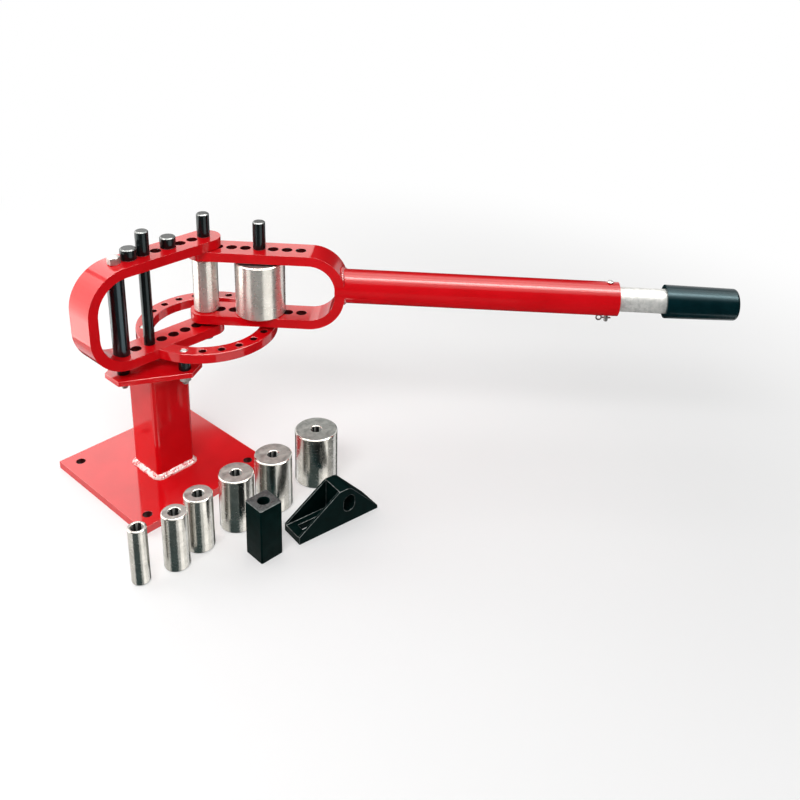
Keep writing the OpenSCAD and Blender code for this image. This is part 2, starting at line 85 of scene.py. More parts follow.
class Surface:
    """A material built from one Principled shader and procedural textures in the piece's own space."""

    def __init__(self, name, color, metallic, roughness, **sockets):
        self.material = bpy.data.materials.new(name)
        self.material.use_nodes = True
        self.nodes = self.material.node_tree.nodes
        self.links = self.material.node_tree.links
        self.shader = self.nodes["Principled BSDF"]
        self.shader.inputs["Base Color"].default_value = (*color, 1)
        self.shader.inputs["Metallic"].default_value = metallic
        self.shader.inputs["Roughness"].default_value = roughness
        for socket, value in sockets.items():
            self.shader.inputs[socket.replace("_", " ")].default_value = value
        self.place = self.nodes.new("ShaderNodeTexCoord").outputs["Object"]
        self.normal = None

    def stretched(self, scale):
        """The piece's own coordinates, scaled by three numbers."""
        mapping = self.nodes.new("ShaderNodeMapping")
        mapping.inputs["Scale"].default_value = scale
        self.links.new(self.place, mapping.inputs["Vector"])
        return mapping.outputs["Vector"]

    def noise(self, scale, detail=3, stretch=(1, 1, 1), distortion=0):
        """Cloudy noise with that many cells a metre."""
        texture = self.nodes.new("ShaderNodeTexNoise")
        texture.inputs["Scale"].default_value = scale
        texture.inputs["Detail"].default_value = detail
        texture.inputs["Distortion"].default_value = distortion
        self.links.new(self.stretched(stretch), texture.inputs["Vector"])
        return texture.outputs["Fac"]

    def rings(self, scale):
        """Noise that changes only with the distance from the piece's own Z axis: marks of a facing tool."""
        length = self.nodes.new("ShaderNodeVectorMath")
        length.operation = "LENGTH"
        self.links.new(self.stretched((1, 1, 0)), length.inputs[0])
        texture = self.nodes.new("ShaderNodeTexNoise")
        texture.noise_dimensions = "1D"
        texture.inputs["Scale"].default_value = scale
        self.links.new(length.outputs["Value"], texture.inputs["W"])
        return texture.outputs["Fac"]

    def ramp(self, value, stops):
        """Colours or greys for a value: stops are (place, colour) pairs."""
        node = self.nodes.new("ShaderNodeValToRGB")
        elements = node.color_ramp.elements
        while len(elements) < len(stops):
            elements.new(0.5)
        for element, (place, colour) in zip(elements, stops):
            element.position = place
            element.color = (*colour, 1) if isinstance(colour, tuple) else (colour, colour, colour, 1)
        self.links.new(value, node.inputs["Fac"])
        return node.outputs["Color"]

    def color(self, value, stops):
        """Base colour from a ramp."""
        self.links.new(self.ramp(value, stops), self.shader.inputs["Base Color"])

    def roughness(self, value, low, high):
        """Roughness between two ends, from a value."""
        grey = self.ramp(value, [(0.3, low), (0.7, high)])
        self.links.new(grey, self.shader.inputs["Roughness"])

    def bump(self, value, depth, strength):
        """Adds one layer of bumps, that many metres deep."""
        node = self.nodes.new("ShaderNodeBump")
        node.inputs["Distance"].default_value = depth
        node.inputs["Strength"].default_value = strength
        self.links.new(value, node.inputs["Height"])
        if self.normal:
            self.links.new(self.normal, node.inputs["Normal"])
        self.normal = node.outputs["Normal"]
        self.links.new(self.normal, self.shader.inputs["Normal"])


def red_paint():
    """Glossy red enamel with a faint orange peel, a little thinner and darker in patches."""
    s = Surface("red_paint", (0.6, 0.003, 0.007), 0.0, 0.42, Specular_IOR_Level=0.03,
                Coat_Weight=0.85, Coat_Roughness=0.08)
    s.color(s.noise(18, 4), [(0.3, (0.6, 0.002, 0.005)), (0.7, (0.7, 0.003, 0.008))])
    s.roughness(s.noise(60, 3), 0.34, 0.46)
    s.bump(s.noise(300, 2), 0.0001, 0.12)
    return s.material


def edge_paint():
    """The enamel on rounded edges, where it runs thick and glints."""
    s = Surface("edge_paint", (0.62, 0.006, 0.011), 0.0, 0.4, Specular_IOR_Level=0.1,
                Coat_Weight=1.0, Coat_Roughness=0.16, Coat_IOR=2.0)
    s.color(s.noise(40, 4), [(0.3, (0.56, 0.005, 0.009)), (0.7, (0.7, 0.008, 0.014))])
    s.bump(s.noise(300, 3), 0.0001, 0.3)
    return s.material


def hole_painted_shade():
    """Painted shade on the walls of the drilled holes: a near-black red standing in for the shade inside
    them.
    """
    s = Surface("hole_painted_shade", (0.03, 0.001, 0.001), 0.0, 0.4, Specular_IOR_Level=0.3)
    s.color(s.noise(200, 3), [(0.3, (0.02, 0.001, 0.001)), (0.7, (0.09, 0.002, 0.003))])
    s.bump(s.noise(600, 3), 0.00005, 0.4)
    return s.material


# How fast the weld's red turns into its pale painted glints.
GLINT_BLEND = 0.07


def weld_paint_painted_glints(name, glint_from):
    """The same enamel over a weld's lumps, with pale patches of painted glint where the noise passes the
    given threshold.
    """
    s = Surface(name, (0.6, 0.006, 0.011), 0.0, 0.3, Specular_IOR_Level=0.4,
                Coat_Weight=1.0, Coat_Roughness=0.14, Coat_IOR=1.9)
    s.color(s.noise(200, 4), [(0.3, (0.5, 0.004, 0.008)), (glint_from, (0.68, 0.008, 0.014)),
                              (glint_from + GLINT_BLEND, (0.9, 0.66, 0.63))])
    s.bump(s.noise(420, 3), 0.0004, 0.5)
    return s.material


def die_steel():
    """Turned bright steel: fine rings from the tool draw the reflections out along the axis."""
    s = Surface("die_steel", (0.62, 0.605, 0.57), 1.0, 0.24, Anisotropic=0.6, Anisotropic_Rotation=0.25)
    s.color(s.noise(60, 4, distortion=0.3), [(0.3, (0.52, 0.51, 0.475)), (0.7, (0.7, 0.69, 0.655))])
    s.roughness(s.noise(120, 4, (1, 1, 3)), 0.2, 0.28)
    s.bump(s.noise(900, 2, (0.01, 0.01, 4)), 0.00003, 0.3)
    s.bump(s.noise(200, 4), 0.00004, 0.25)
    return s.material


def upper_die_steel():
    """The same turned steel, paler, on the two dies in use."""
    s = Surface("upper_die_steel", (0.75, 0.73, 0.68), 0.75, 0.28,
                Anisotropic=0.75, Anisotropic_Rotation=0.25)
    s.color(s.noise(60, 4, distortion=0.3), [(0.3, (0.68, 0.66, 0.61)), (0.7, (0.84, 0.82, 0.77))])
    s.roughness(s.noise(120, 4, (1, 1, 3)), 0.26, 0.32)
    s.bump(s.noise(700, 2, (0.01, 0.01, 3)), 0.00002, 0.15)
    s.bump(s.noise(200, 4), 0.00003, 0.15)
    return s.material


def die_face():
    """Faced die ends: dull grey with tool marks and stains."""
    s = Surface("die_face", (0.5, 0.49, 0.46), 1.0, 0.42)
    s.color(s.noise(110, 6, distortion=0.8), [(0.3, (0.24, 0.255, 0.245)), (0.7, (0.4, 0.42, 0.405))])
    s.roughness(s.noise(120, 4), 0.34, 0.46)
    s.bump(s.rings(1400), 0.00004, 0.5)
    s.bump(s.noise(500, 4), 0.00006, 0.3)
    return s.material


def black_steel():
    """Oil-blackened steel, satin, with lighter rubbed patches."""
    s = Surface("black_steel", (0.004, 0.006, 0.006), 0.0, 0.18, Specular_IOR_Level=0.4,
                Specular_Tint=(0.75, 0.95, 1.0, 1.0))
    s.color(s.noise(110, 5, (1, 1, 0.4)), [(0.4, (0.002, 0.0035, 0.0035)), (0.8, (0.009, 0.013, 0.014))])
    s.roughness(s.noise(150, 4, (1, 1, 0.4)), 0.13, 0.24)
    s.bump(s.noise(500, 3), 0.00004, 0.2)
    return s.material


def sleeve_steel():
    """Blackened tube with a brighter, bluer sheen than the pins."""
    s = Surface("sleeve_steel", (0.004, 0.007, 0.008), 0.0, 0.2, Specular_IOR_Level=0.85,
                Specular_Tint=(0.62, 0.88, 1.0, 1.0))
    s.color(s.noise(110, 5, (1, 1, 0.4)), [(0.4, (0.002, 0.004, 0.0045)), (0.8, (0.008, 0.013, 0.015))])
    s.roughness(s.noise(150, 4, (1, 1, 0.4)), 0.16, 0.26)
    s.bump(s.noise(500, 3), 0.00004, 0.2)
    return s.material


def black_face():
    """Scuffed top of a blackened pin head, and of the square block."""
    s = Surface("black_face", (0.05, 0.055, 0.055), 0.5, 0.4)
    s.color(s.noise(240, 6, distortion=1.2), [(0.35, (0.015, 0.018, 0.019)), (0.75, (0.08, 0.09, 0.092))])
    s.roughness(s.noise(200, 4), 0.34, 0.5)
    s.bump(s.noise(450, 4), 0.00008, 0.5)
    return s.material


def black_edge():
    """Bright bevel of a pin's end, where the blacking is worn off."""
    s = Surface("black_edge", (0.2, 0.21, 0.21), 0.8, 0.32)
    s.color(s.noise(300, 5), [(0.35, (0.07, 0.08, 0.08)), (0.65, (0.3, 0.31, 0.31))])
    s.roughness(s.noise(200, 3), 0.25, 0.4)
    return s.material


def bore_painted_glints():
    """Wall of a drilled bore, with streaks of painted glint and painted shade along it."""
    s = Surface("bore_painted_glints", (0.4, 0.4, 0.38), 0.3, 0.24)
    s.color(s.noise(240, 3, (1, 1, 0.03)), [(0.44, (0.015, 0.018, 0.018)), (0.56, (0.85, 0.85, 0.82))])
    s.roughness(s.noise(150, 3), 0.18, 0.34)
    s.bump(s.noise(900, 2, (0.02, 0.02, 2)), 0.00004, 0.4)
    return s.material


def zinc():
    """Bright zinc plate."""
    s = Surface("zinc", (0.48, 0.48, 0.46), 0.8, 0.42)
    s.color(s.noise(200, 4), [(0.3, (0.36, 0.36, 0.345)), (0.7, (0.56, 0.56, 0.54))])
    s.roughness(s.noise(240, 3), 0.34, 0.5)
    s.bump(s.noise(900, 2), 0.00006, 0.4)
    return s.material


def galvanised():
    """Galvanised tube: pale grey with a faint mottle."""
    s = Surface("galvanised", (0.76, 0.76, 0.74), 0.25, 0.5)
    s.color(s.noise(170, 6, distortion=0.6), [(0.36, (0.54, 0.55, 0.53)), (0.62, (0.73, 0.73, 0.705))])
    s.roughness(s.noise(160, 3), 0.42, 0.54)
    s.bump(s.noise(260, 3), 0.00006, 0.15)
    return s.material


def rubber_grip():
    """Dark blue-green rubber with a smooth skin."""
    s = Surface("rubber_grip", (0.0008, 0.014, 0.017), 0.0, 0.3, Specular_IOR_Level=0.3,
                Specular_Tint=(0.62, 0.9, 1.0, 1.0))
    s.color(s.noise(40, 3), [(0.3, (0.0004, 0.012, 0.015)), (0.7, (0.0008, 0.017, 0.021))])
    s.roughness(s.noise(90, 3), 0.2, 0.27)
    s.bump(s.noise(900, 2), 0.00004, 0.25)
    return s.material


def black_iron():
    """Black painted casting with a fine sandy skin."""
    s = Surface("black_iron", (0.001, 0.007, 0.0065), 0.0, 0.34, Specular_IOR_Level=0.02,
                Specular_Tint=(0.6, 1.0, 1.0, 1.0))
    s.color(s.noise(70, 5), [(0.3, (0.0006, 0.006, 0.0055)), (0.75, (0.0018, 0.0115, 0.011))])
    s.roughness(s.noise(130, 4), 0.3, 0.46)
    s.bump(s.noise(380, 4), 0.00012, 0.35)
    return s.material


def rubbed_iron_and_highlight():
    """Edges of the castings: lighter where the paint is rubbed thin, and a painted highlight along them."""
    s = Surface("rubbed_iron_and_highlight", (0.08, 0.09, 0.09), 0.4, 0.36)
    s.color(s.noise(160, 5), [(0.35, (0.012, 0.018, 0.018)), (0.65, (0.15, 0.17, 0.17))])
    s.bump(s.noise(380, 4), 0.0001, 0.4)
    return s.material


RED = red_paint()
EDGE_RED = edge_paint()
HOLE_PAINTED_SHADE = hole_painted_shade()
# Weld beads: flecks of painted glint on the handle's, mostly painted glint on the post's foot.
WELD_PAINTED_GLINTS = weld_paint_painted_glints("weld_paint_painted_glints", 0.58)
FOOT_WELD_PAINTED_GLINTS = weld_paint_painted_glints("foot_weld_painted_glints", 0.4)
STEEL = die_steel()
UPPER_STEEL = upper_die_steel()
STEEL_FACE = die_face()
BORE_PAINTED_GLINTS = bore_painted_glints()
BLACK = black_steel()
SLEEVE = sleeve_steel()
BLACK_FACE = black_face()
BLACK_EDGE = black_edge()
ZINC = zinc()
GALVANISED = galvanised()
RUBBER = rubber_grip()
IRON = black_iron()
IRON_EDGE_AND_HIGHLIGHT = rubbed_iron_and_highlight()

# Pieces


def finish_piece(piece, node, body, smooth_angle=30):
    """Shades a piece smooth between sharp edges, rides it on its body and lets it stand for its CAD node."""
    mesh = piece.data
    mesh.shade_smooth()
    mesh.set_sharp_from_angle(angle=math.radians(smooth_angle))
    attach(piece, body)
    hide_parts(node)
    return piece


def body_of(node):
    """The CAD body that holds a node."""
    for body, nodes in frame["record"]["behaviour"]["bodies"].items():
        if node in nodes:
            return body
    return None


MERGE_DISTANCE = 0.002 * MM
FLAT_ANGLE = math.radians(0.4)


def clean_mesh(node, origin):
    """The node's mesh about a new origin, with its flat faces made whole again."""
    source = frame["nodes"][node]
    mesh = bpy.data.meshes.new(node + "_shape")
    solid = bmesh.new()
    solid.from_mesh(source.data)
    bmesh.ops.transform(solid, matrix=Matrix.Translation(-origin) @ source.matrix_world, verts=solid.verts)
    bmesh.ops.remove_doubles(solid, verts=solid.verts, dist=MERGE_DISTANCE)
    bmesh.ops.dissolve_limit(solid, angle_limit=FLAT_ANGLE, verts=solid.verts, edges=solid.edges)
    solid.to_mesh(mesh)
    solid.free()
    if "custom_normal" in mesh.attributes:
        mesh.attributes.remove(mesh.attributes["custom_normal"])
    return mesh


CREST_LENGTH = 35 * MM
CREST_DEPTH = 0.1 * MM
CREST_STEPS = 4


def soften_crest(mesh, reach):
    """Rounds the longest level edges along the top of a mesh."""
    shape = bmesh.new()
    shape.from_mesh(mesh)
    top = max(vertex.co.z for vertex in shape.verts)
    crest = [edge for edge in shape.edges if edge.calc_length() > CREST_LENGTH
             and min(vertex.co.z for vertex in edge.verts) > top - CREST_DEPTH]
    bmesh.ops.bevel(shape, geom=crest, offset=reach, segments=CREST_STEPS, profile=0.5, affect="EDGES",
                    clamp_overlap=True)
    shape.to_mesh(mesh)
    shape.free()


BORE_REACH = 24 * MM
RAY_START = 0.05 * MM


def in_bore(polygon, tree):
    """Whether a face is the wall of a bore: straight out from it, the piece begins again close by."""
    start = polygon.center + RAY_START * polygon.normal
    return tree.ray_cast(start, polygon.normal, BORE_REACH)[0] is not None


# How upright a face's normal is at the limits of level faces, chamfers and walls: 1 is straight up or down
LEVEL_LEAN = 0.95
CHAMFER_LEAN = 0.3
UPRIGHT_LEAN = 0.5
EDGE_ANGLE = math.radians(28)
EDGE_STEPS = 3
NORMAL_WEIGHT = 80


def rounded(node, material, edge, edge_material=None, face_material=None, bore_material=None,
            chamfers=True, crest=0):
    """The node with rounded edges.

    face_material goes on faces that look up or down, and bore_material on the walls of its bores.
    edge_material goes on the rounding, and on the CAD's own chamfers too if chamfers is true.
    crest is how far the rounding of the longest level edges along its top reaches.
    """
    origin = middle(node)
    mesh = clean_mesh(node, origin)
    if crest:
        soften_crest(mesh, crest)
    tree = BVHTree.FromPolygons([vertex.co for vertex in mesh.vertices], [p.vertices for p in mesh.polygons])
    mesh.materials.append(material)
    places = {}
    for name, extra in (("edge", edge_material), ("face", face_material), ("bore", bore_material)):
        if extra:
            mesh.materials.append(extra)
            places[name] = len(mesh.materials) - 1
    for polygon in mesh.polygons:
        lean = abs(polygon.normal.z)
        if face_material and lean > LEVEL_LEAN:
            polygon.material_index = places["face"]
        elif bore_material and lean < UPRIGHT_LEAN and in_bore(polygon, tree):
            polygon.material_index = places["bore"]
        elif edge_material and chamfers and CHAMFER_LEAN < lean < LEVEL_LEAN:
            polygon.material_index = places["edge"]
    piece = bpy.data.objects.new(node + "_body", mesh)
    bpy.context.collection.objects.link(piece)
    piece.location = origin
    bevel = piece.modifiers.new("edges", "BEVEL")
    bevel.width = edge
    bevel.segments = EDGE_STEPS
    bevel.limit_method = "ANGLE"
    bevel.angle_limit = EDGE_ANGLE
    bevel.miter_outer = "MITER_ARC"
    bevel.use_clamp_overlap = not crest
    if edge_material:
        bevel.material = places["edge"]
    normals = piece.modifiers.new("normals", "WEIGHTED_NORMAL")
    normals.weight = NORMAL_WEIGHT
    normals.keep_sharp = True
    return finish_piece(piece, node, body_of(node))


def skin(name, node, rings, material, capped=True, origin=None, smooth_angle=40):
    """A piece from closed rings of points with the same count each. capped shuts both ends."""
    origin = origin or middle(node)
    mesh = bpy.data.meshes.new(name)
    shape = bmesh.new()
    rows = [[shape.verts.new(point - origin) for point in ring] for ring in rings]
    count = len(rings[0])
    for row, following in zip(rows, rows[1:]):
        for i in range(count):
            j = (i + 1) % count
            shape.faces.new((row[i], row[j], following[j], following[i]))
    if capped:
        shape.faces.new(rows[0])
        shape.faces.new(rows[-1])
    bmesh.ops.recalc_face_normals(shape, faces=shape.faces)
    shape.to_mesh(mesh)
    shape.free()
    mesh.materials.append(material)
    piece = bpy.data.objects.new(name, mesh)
    bpy.context.collection.objects.link(piece)
    piece.location = origin
    return finish_piece(piece, node, body_of(node), smooth_angle)


# Threaded rods

ROD_SEGMENTS = 48
THREAD_PITCH = 1.5 * MM
THREAD_DEPTH = 0.7 * MM
ROWS_A_PITCH = 8
END_BEVEL = 1.0 * MM
END_SLOPE = 0.9
THREAD_RUNOUT = 0.5 * MM
THREAD_TOP_Z = NUT_FOOT_Z + 2 * THREAD_PITCH


def thread_radius(angle, height, foot):
    """Radius of the thread's surface: ridges climb one pitch in a turn, and the end is bevelled."""
    phase = (height / THREAD_PITCH - angle / math.tau) % 1
    ridge = abs(2 * phase - 1)
    bevel = max(0, END_BEVEL - (height - foot)) * END_SLOPE
    return min(BOLT_R - THREAD_DEPTH * (1 - ridge), BOLT_R - bevel)


def rod_rings(x, y, foot, top):
    """Rings of a round bar with a thread at its lower end and a bevel at its top."""

    def ring(height, radius_at):
        """One ring of the bar, with its radius as a function of the angle."""
        points = []
        for i in range(ROD_SEGMENTS):
            angle = math.tau * i / ROD_SEGMENTS
            radius = radius_at(angle)
            points.append(Vector((x + radius * math.cos(angle), y + radius * math.sin(angle), height)))
        return points

    step = THREAD_PITCH / ROWS_A_PITCH
    rows = int((THREAD_TOP_Z - foot) / step)
    heights = [foot + k * step for k in range(rows)]
    rings = [ring(height, lambda a, h=height: thread_radius(a, h, foot)) for height in heights]
    rings.append(ring(THREAD_TOP_Z + THREAD_RUNOUT, lambda a: BOLT_R))
    rings.append(ring(top - END_BEVEL, lambda a: BOLT_R))
    rings.append(ring(top, lambda a: BOLT_R - END_BEVEL))
    return rings


def stud_places():
    """Centres of the two studs, from the box of the node that holds both."""
    low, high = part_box("frame_studs")
    x = (low[0] + high[0]) / 2
    reach = (high[1] - low[1]) / 2 - BOLT_R
    return [(x, -reach), (x, reach)]


def make_studs():
    """The two studs under the index ring."""
    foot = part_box("frame_studs")[0][2]
    for number, (x, y) in enumerate(stud_places()):
        rings = rod_rings(x, y, foot, RING_TOP)
        skin("stud_%d" % number, "frame_studs", rings, ZINC, origin=Vector((x, y, foot)))


HEAD_FLATS = 16 * MM
HEAD_CORNER = HEAD_FLATS / math.sqrt(3)
HEAD_SEGMENTS = 72
HEAD_FOOT_BEVEL = 0.4 * MM
CROWN_BEVEL = 1.3 * MM
CROWN_SLOPE = 1.9
CROWN_CURVE = 1.5
CROWN_SHARES = (0.3, 0.6, 0.85, 1.0)
SHANK_IN_HEAD = 1 * MM


def hexagon_reach(angle):
    """Distance from the middle of a hexagon to its edge in one direction."""
    turn = (angle + math.pi / 6) % (math.pi / 3) - math.pi / 6
    return HEAD_FLATS / 2 / math.cos(turn)


def make_long_bolt():
    """Hexagon bolt: its head with a bevelled crown, and its shank with a threaded end."""
    low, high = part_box("long_bolt")
    x = (low[0] + high[0]) / 2
    crown = high[2]
    levels = [(FRAME_TOP, HEAD_CORNER - HEAD_FOOT_BEVEL), (FRAME_TOP + HEAD_FOOT_BEVEL, HEAD_CORNER),
              (crown - CROWN_BEVEL, HEAD_CORNER)]
    for share in CROWN_SHARES:
        inset = CROWN_SLOPE * CROWN_BEVEL * share ** CROWN_CURVE
        levels.append((crown - CROWN_BEVEL * (1 - share), HEAD_CORNER - inset))
    rings = []
    for height, limit in levels:
        ring = []
        for i in range(HEAD_SEGMENTS):
            angle = math.tau * i / HEAD_SEGMENTS
            reach = min(hexagon_reach(angle), limit)
            ring.append(Vector((x + reach * math.cos(angle), reach * math.sin(angle), height)))
        rings.append(ring)
    skin("long_bolt_head", "long_bolt", rings, ZINC, smooth_angle=25)
    shank = rod_rings(x, 0, low[2], FRAME_TOP + SHANK_IN_HEAD)
    skin("long_bolt_shank", "long_bolt", shank, ZINC)


# Weld beads

SECTION_STEPS = 8


def bead_profile(leg_a, leg_b, swell):
    """Points of a bead's face, from one leg's toe to the other's: (along a, along b) pairs."""
    points = []
    for k in range(SECTION_STEPS + 1):
        turn = math.pi / 2 * k / SECTION_STEPS
        fullness = 1 - (1 - swell) * math.sin(2 * turn) ** 2
        points.append((leg_a * math.cos(turn) * fullness, leg_b * math.sin(turn) * fullness))
    return points


RIPPLE_SHARE = 0.1
LUMP_SHARE = 0.22
GRAIN_SHARE = 0.1
LUMPS_A_METRE = 90
GRAINS_A_METRE = 260
GRAIN_SHIFT = Vector((3, 7, 1))


def lumps(place, ripple, along):
    """Swelling of a hand-laid bead: even ripples along it, with uneven lumps and grains."""
    wave = abs(math.sin(math.pi * along / ripple))
    lump = noise.noise(place * LUMPS_A_METRE)
    grain = noise.noise(place * GRAINS_A_METRE + GRAIN_SHIFT)
    return 1 + RIPPLE_SHARE * wave + LUMP_SHARE * lump + GRAIN_SHARE * grain


FOOT_LEG = 5.6 * MM
FOOT_RIPPLE = 3.2 * MM
FOOT_STEP = 0.8 * MM
FOOT_SWELL = 0.8
FOOT_TALLER = 1.05
FOOT_IN_POST = 1.2 * MM
FOOT_IN_PLATE = 1.0 * MM


def post_outline():
    """Points and outward directions round the post's foot, one step apart."""
    run = POST_HALF - POST_CORNER
    track = []
    for side in range(4):
        turn = Matrix.Rotation(math.tau / 4 * side, 3, "Z")
        steps = int(2 * run / FOOT_STEP)
        for k in range(steps):
            along = -run + 2 * run * k / steps
            track.append((turn @ Vector((along, -POST_HALF, 0)), turn @ Vector((0, -1, 0))))
        corner = turn @ Vector((run, -run, 0))
        steps = int(POST_CORNER * math.pi / 2 / FOOT_STEP) + 2
        for k in range(steps):
            angle = -math.pi / 2 + math.pi / 2 * k / steps
            outward = turn @ Vector((math.cos(angle), math.sin(angle), 0))
            track.append((corner + POST_CORNER * outward, outward))
    return track


def make_foot_weld():
    """Rippled bead round the post's foot."""
    rings = []
    for number, (place, outward) in enumerate(post_outline()):
        size = lumps(place, FOOT_RIPPLE, number * FOOT_STEP)
        root = place + UP * PLATE_TOP
        ring = [root - FOOT_IN_POST * outward - FOOT_IN_PLATE * UP]
        for a, b in bead_profile(FOOT_LEG * size, FOOT_LEG * size * FOOT_TALLER, FOOT_SWELL):
            ring.append(root + a * outward + b * UP)
        rings.append(ring)
    rings.append(rings[0])
    skin("foot_weld_bead", "foot_weld", rings, FOOT_WELD_PAINTED_GLINTS, capped=False, smooth_angle=75)


HANDLE_LEG = 3.4 * MM
HANDLE_RIPPLE = 3.0 * MM
HANDLE_STEPS = 90
HANDLE_SWELL = 0.85
HANDLE_END_GAP = 1.5 * MM
HANDLE_IN_ARM = 2.0 * MM
HANDLE_IN_TUBE = 1.5 * MM
HANDLE_SUNK = 0.3 * MM
TAPER_RATE = 6
TAPER_LEAST = 0.4


def arm_back_at(height):
    """How far the back of the swing arm's bend lies from the pivot at one height."""
    past = max(abs(height - ARM_MIDDLE_Z) - ARM_FLAT, 0)
    return ARM_CURVE_X + math.sqrt(ARM_CURVE_R ** 2 - past ** 2)


def on_arm(x, y, z):
    """A place given along the swing arm, across it and up."""
    return PIVOT + x * ARM_AXIS + y * ARM_SIDE + z * UP


def make_handle_weld():
    """Beads over and under the handle tube where it meets the bend."""
    widest = math.asin((ARM_HALF_WIDTH - HANDLE_END_GAP) / HANDLE_R)
    for number, top in enumerate((0, math.pi)):
        rings = []
        for k in range(HANDLE_STEPS + 1):
            share = k / HANDLE_STEPS
            angle = top + widest * (2 * share - 1)
            radial = math.sin(angle) * ARM_SIDE + math.cos(angle) * UP
            across = HANDLE_R * math.sin(angle)
            height = HANDLE_Z + HANDLE_R * math.cos(angle)
            root = on_arm(arm_back_at(height), across, height)
            fullness = math.sqrt(min(1, TAPER_RATE * share, TAPER_RATE * (1 - share)))
            taper = fullness * (1 - TAPER_LEAST) + TAPER_LEAST
            size = lumps(root, HANDLE_RIPPLE, HANDLE_R * abs(angle)) * taper
            ring = [root - HANDLE_IN_ARM * ARM_AXIS - HANDLE_IN_TUBE * radial]
            for a, b in bead_profile(HANDLE_LEG * size, HANDLE_LEG * size, HANDLE_SWELL):
                ring.append(root + (a - HANDLE_SUNK) * ARM_AXIS + (b - HANDLE_SUNK) * radial)
            rings.append(ring)
        skin("handle_bead_%d" % number, "handle_weld", rings, WELD_PAINTED_GLINTS, smooth_angle=75)


# Grip

GRIP_LENGTH = 111 * MM
GRIP_SEGMENTS = 72
GRIP_MOUTH_R = 25.8 * MM
GRIP_NOSE_R = 24.4 * MM
GRIP_CORNER = 5.5 * MM
GRIP_LIP = 1.0 * MM
GRIP_HOLE_R = 19.1 * MM
GRIP_HOLE_DEPTH = 3 * MM
GRIP_HOLE_BEVEL = 0.6 * MM
GRIP_HOLE_BEVEL_DEPTH = 0.5 * MM
GRIP_SIDE_SHARES = (0.05, 0.3, 0.6)
GRIP_LIP_STEPS = 4
GRIP_CORNER_STEPS = 8
GRIP_DOME = 0.4 * MM
GRIP_DOME_SHARE = 0.7
GRIP_TOP_SHARE = 0.3
GRIP_TIP_R = 0.2 * MM


def grip_profile():
    """Half outline of the grip: (along, radius) pairs from its mouth to the middle of its domed end."""
    corner_x = GRIP_LENGTH - GRIP_CORNER - GRIP_DOME
    corner_r = GRIP_NOSE_R - GRIP_CORNER
    profile = [(GRIP_HOLE_DEPTH, GRIP_HOLE_R), (GRIP_HOLE_BEVEL_DEPTH, GRIP_HOLE_R),
               (0, GRIP_HOLE_R + GRIP_HOLE_BEVEL)]
    for k in range(GRIP_LIP_STEPS + 1):
        turn = math.pi / 2 * k / GRIP_LIP_STEPS
        profile.append((GRIP_LIP * (1 - math.cos(turn)), GRIP_MOUTH_R - GRIP_LIP + GRIP_LIP * math.sin(turn)))
    for share in GRIP_SIDE_SHARES:
        profile.append((GRIP_LENGTH * share, GRIP_MOUTH_R + (GRIP_NOSE_R - GRIP_MOUTH_R) * share))
    for k in range(GRIP_CORNER_STEPS + 1):
        turn = math.pi / 2 * k / GRIP_CORNER_STEPS
        profile.append((corner_x + GRIP_CORNER * math.sin(turn), corner_r + GRIP_CORNER * math.cos(turn)))
    profile.append((GRIP_LENGTH - GRIP_DOME / 2, corner_r * GRIP_DOME_SHARE))
    profile.append((GRIP_LENGTH, corner_r * GRIP_TOP_SHARE))
    profile.append((GRIP_LENGTH, GRIP_TIP_R))
    return profile


def make_grip():
    """Rubber sleeve, a little thicker at its mouth, closed by a soft-edged end."""
    low, high = (Vector(corner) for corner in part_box("grip"))
    centre = (low + high) / 2
    reach = (centre - PIVOT).dot(ARM_AXIS)
    start = reach - GRIP_LENGTH / 2
    rings = []
    for along, radius in grip_profile():
        ring = []
        for i in range(GRIP_SEGMENTS):
            angle = math.tau * i / GRIP_SEGMENTS
            ring.append(on_arm(start + along, radius * math.cos(angle), HANDLE_Z + radius * math.sin(angle)))
        rings.append(ring)
    skin("grip_sleeve", "grip", rings, RUBBER, smooth_angle=50)


# Square block

BLOCK_TURN = math.radians(-3)
BLOCK_HALF = 18 * MM
BLOCK_CORNER = 1.2 * MM
BLOCK_RIM = 0.8 * MM
BLOCK_BORE_R = 8.1 * MM
BLOCK_BORE_BEVEL = 0.7 * MM
BLOCK_SEGMENTS = 64
BLOCK_TOP_LEAN = 0.98
BLOCK_HIGHLIGHT_LEAN = 0.2
BLOCK_RIM_R = BLOCK_BORE_R + 2 * MM


def square_reach(angle, half, corner):
    """Distance from the middle of a square with round corners to its edge in one direction."""
    x, y = abs(math.cos(angle)), abs(math.sin(angle))
    reach = half / max(x, y)
    flat = half - corner
    if min(x, y) * reach > flat:
        along = flat * (x + y)
        reach = along + math.sqrt(along ** 2 - 2 * flat ** 2 + corner ** 2)
    return reach


